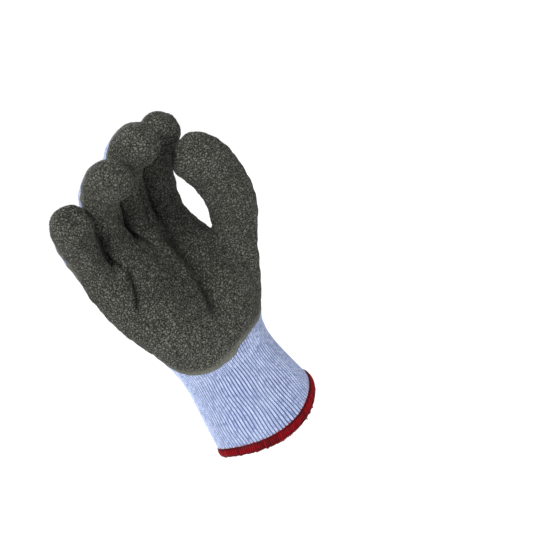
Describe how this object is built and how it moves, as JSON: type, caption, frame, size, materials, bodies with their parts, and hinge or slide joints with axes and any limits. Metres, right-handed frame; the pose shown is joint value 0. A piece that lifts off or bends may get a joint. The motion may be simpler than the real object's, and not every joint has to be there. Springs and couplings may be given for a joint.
{
  "type": "coated work glove",
  "caption": "Right-hand work glove: seamless knitted liner with a long rib cuff, crinkled latex coating on palm, thumb and fingers, and an overlocked hem.",
  "frame": {"origin": "middle of the cuff's mouth, where the wrist goes in", "axes": "+Z from the wrist to the fingers, -Y out of the palm, +X to the thumb's side"},
  "size_m": [0.1378, 0.1023, 0.2375],
  "materials": {
    "knit": "plain knitted yarn",
    "hem_thread": "overlocked thread",
    "latex": "satin, finely crinkled"
  },
  "bodies": {
    "root": {"hem_binding": "hem_thread", "rib_cuff": "knit", "knit_heel": "knit", "knit_palm": "knit", "knit_back": "knit", "knit_little_finger": "knit", "knit_ring_finger": "knit", "knit_middle_finger": "knit", "knit_index_finger": "knit", "knit_thumb": "knit", "latex_coating": "latex"}
  },
  "joints": []
}
